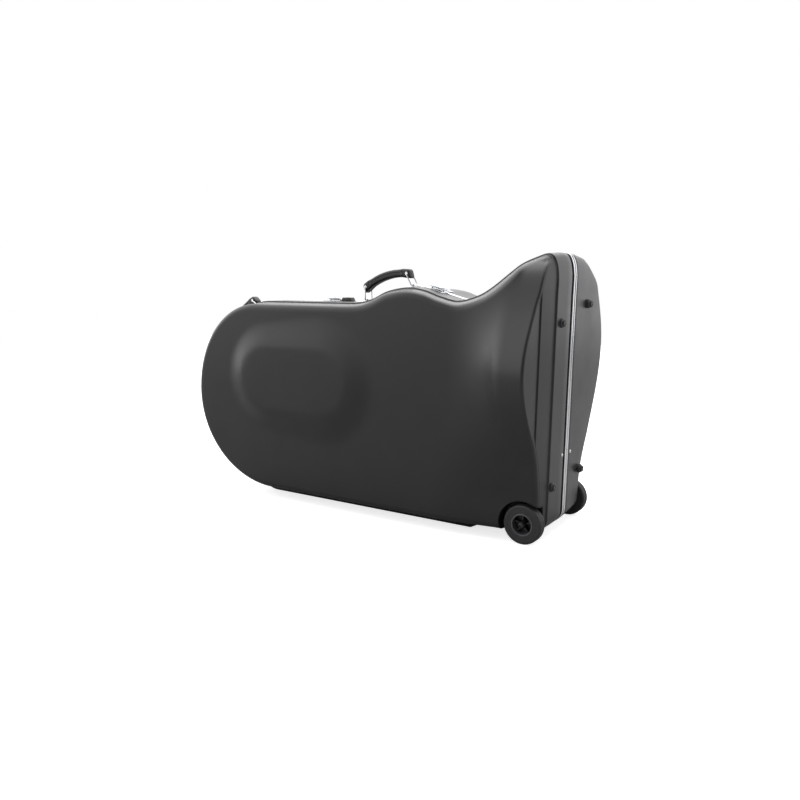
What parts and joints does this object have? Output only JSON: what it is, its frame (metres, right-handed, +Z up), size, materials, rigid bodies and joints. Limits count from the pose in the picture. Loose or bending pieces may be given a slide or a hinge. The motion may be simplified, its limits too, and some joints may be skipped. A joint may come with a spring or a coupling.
{
  "type": "tuba case",
  "caption": "Hard moulded tuba case standing on its long edge, with a flared bell end, hinged lid shell, latches, carrying and towing handles, runners and wheels.",
  "frame": {"origin": "centre of the bounding box's base, on the floor", "axes": "+X from the round bow end to the bell end, +Y from the body shell with the handles to the lid shell, +Z up from the floor as the case stands in the picture"},
  "size_m": [1.1622, 0.5156, 0.709],
  "materials": {
    "shell_plastic": "finely grained moulded ABS, charcoal",
    "frame_aluminium": "satin extrusion",
    "plush_foam": "foam covered in short black plush",
    "rubber": "matt black",
    "steel": "zinc plated",
    "black_plastic": "black, lightly grained",
    "chrome": "bright nickel plate"
  },
  "bodies": {
    "case_body": {"front_shell": "shell_plastic", "front_frame_profile": "frame_aluminium", "front_bell_block": "plush_foam", "front_end_pad": "plush_foam", "front_bow_block": "plush_foam", "front_upper_rail": "plush_foam", "front_lower_rail": "plush_foam", "front_runner": "black_plastic", "front_axle": "steel", "front_wheel_well": "black_plastic", "front_foot_upper": "rubber", "front_foot_lower": "rubber", "front_stay_rivet": "chrome", "hinge_1_front_leaf": "steel", "hinge_1_pin": "steel", "hinge_2_front_leaf": "steel", "hinge_2_pin": "steel", "hinge_3_front_leaf": "steel", "hinge_3_pin": "steel", "carry_handle_saddle_left": "chrome", "carry_handle_saddle_right": "chrome", "tow_handle_saddle_left": "chrome", "tow_handle_saddle_right": "chrome", "latch_1_base": "chrome", "latch_2_base": "chrome", "lock_housing": "black_plastic"},
    "lid": {"back_shell": "shell_plastic", "back_frame_profile": "frame_aluminium", "back_bell_block": "plush_foam", "back_end_pad": "plush_foam", "back_bow_block": "plush_foam", "back_upper_rail": "plush_foam", "back_lower_rail": "plush_foam", "back_runner": "black_plastic", "back_axle": "steel", "back_wheel_boss": "black_plastic", "back_foot_upper": "rubber", "back_foot_lower": "rubber", "back_stay_rivet": "chrome", "hinge_1_back_leaf": "steel", "hinge_2_back_leaf": "steel", "hinge_3_back_leaf": "steel", "latch_1_keeper": "chrome", "latch_2_keeper": "chrome"},
    "front_wheel": {"front_tyre": "rubber", "front_wheel_rim": "black_plastic"},
    "back_wheel": {"back_tyre": "rubber", "back_wheel_rim": "black_plastic"},
    "carry_ring_left": {"carry_handle_ring_left": "chrome"},
    "carry_ring_right": {"carry_handle_ring_right": "chrome"},
    "carry_grip": {"carry_handle_grip": "black_plastic"},
    "tow_ring_left": {"tow_handle_ring_left": "chrome"},
    "tow_ring_right": {"tow_handle_ring_right": "chrome"},
    "tow_grip": {"tow_handle_grip": "black_plastic"},
    "latch_1_lever": {"latch_1_lever": "chrome"},
    "latch_1_link": {"latch_1_link": "chrome"},
    "latch_2_lever": {"latch_2_lever": "chrome"},
    "latch_2_link": {"latch_2_link": "chrome"}
  },
  "joints": [
    {"name": "lid_hinge", "type": "hinge", "parent": "case_body", "child": "lid", "pos_m": [0.07747, 0.01415, 0.0145], "axis": [-1, 0, 0], "range_deg": [0, 100]},
    {"name": "front_wheel_spin", "type": "hinge", "parent": "case_body", "child": "front_wheel", "pos_m": [0.51747, -0.13335, 0.05], "axis": [0, 1, 0], "continuous": true},
    {"name": "back_wheel_spin", "type": "hinge", "parent": "lid", "child": "back_wheel", "pos_m": [0.51747, 0.16165, 0.05], "axis": [0, 1, 0], "continuous": true},
    {"name": "carry_ring_left_tilt", "type": "hinge", "parent": "case_body", "child": "carry_ring_left", "pos_m": [-0.02906, -0.01785, 0.58432], "axis": [0, 1, 0], "range_deg": [-10, 10]},
    {"name": "carry_grip_pivot", "type": "hinge", "parent": "carry_ring_left", "child": "carry_grip", "pos_m": [-0.02985, -0.01785, 0.62031], "axis": [0, 1, 0], "range_deg": [-11.5, 11.5]},
    {"name": "carry_ring_right_tilt", "type": "hinge", "parent": "case_body", "child": "carry_ring_right", "pos_m": [0.12519, -0.01785, 0.6264], "axis": [0, 1, 0], "range_deg": [-10.5, 10.5]},
    {"name": "tow_ring_left_tilt", "type": "hinge", "parent": "case_body", "child": "tow_ring_left", "pos_m": [-0.55015, -0.01785, 0.44032], "axis": [0, 1, 0], "range_deg": [-10, 10]},
    {"name": "tow_grip_pivot", "type": "hinge", "parent": "tow_ring_left", "child": "tow_grip", "pos_m": [-0.56926, -0.01785, 0.47082], "axis": [0, 1, 0], "range_deg": [-11.5, 11.5]},
    {"name": "tow_ring_right_tilt", "type": "hinge", "parent": "case_body", "child": "tow_ring_right", "pos_m": [-0.43688, -0.01785, 0.55788], "axis": [0, 1, 0], "range_deg": [-10.5, 10.5]},
    {"name": "latch_1_lever_turn", "type": "hinge", "parent": "case_body", "child": "latch_1_lever", "pos_m": [-0.15939, -0.00135, 0.5845], "axis": [-1, 0, 0], "range_deg": [0, 100]},
    {"name": "latch_1_link_turn", "type": "hinge", "parent": "latch_1_lever", "child": "latch_1_link", "pos_m": [-0.15939, -0.01035, 0.5845], "axis": [-1, 0, 0], "range_deg": [-122, 2]},
    {"name": "latch_2_lever_turn", "type": "hinge", "parent": "case_body", "child": "latch_2_lever", "pos_m": [0.19201, -0.00135, 0.62025], "axis": [-0.9671, 0, 0.2543], "range_deg": [0, 100]},
    {"name": "latch_2_link_turn", "type": "hinge", "parent": "latch_2_lever", "child": "latch_2_link", "pos_m": [0.19201, -0.01035, 0.62025], "axis": [-0.9671, 0, 0.2543], "range_deg": [-122, 2]}
  ],
  "couplings": [
    {"joint": "carry_grip_pivot", "follows": "carry_ring_left_tilt", "ratio": -1.12},
    {"joint": "carry_ring_right_tilt", "follows": "carry_ring_left_tilt", "ratio": 1},
    {"joint": "tow_grip_pivot", "follows": "tow_ring_left_tilt", "ratio": -1.12},
    {"joint": "tow_ring_right_tilt", "follows": "tow_ring_left_tilt", "ratio": 1},
    {"joint": "latch_1_link_turn", "follows": "latch_1_lever_turn", "ratio": -1.2},
    {"joint": "latch_2_link_turn", "follows": "latch_2_lever_turn", "ratio": -1.2}
  ]
}
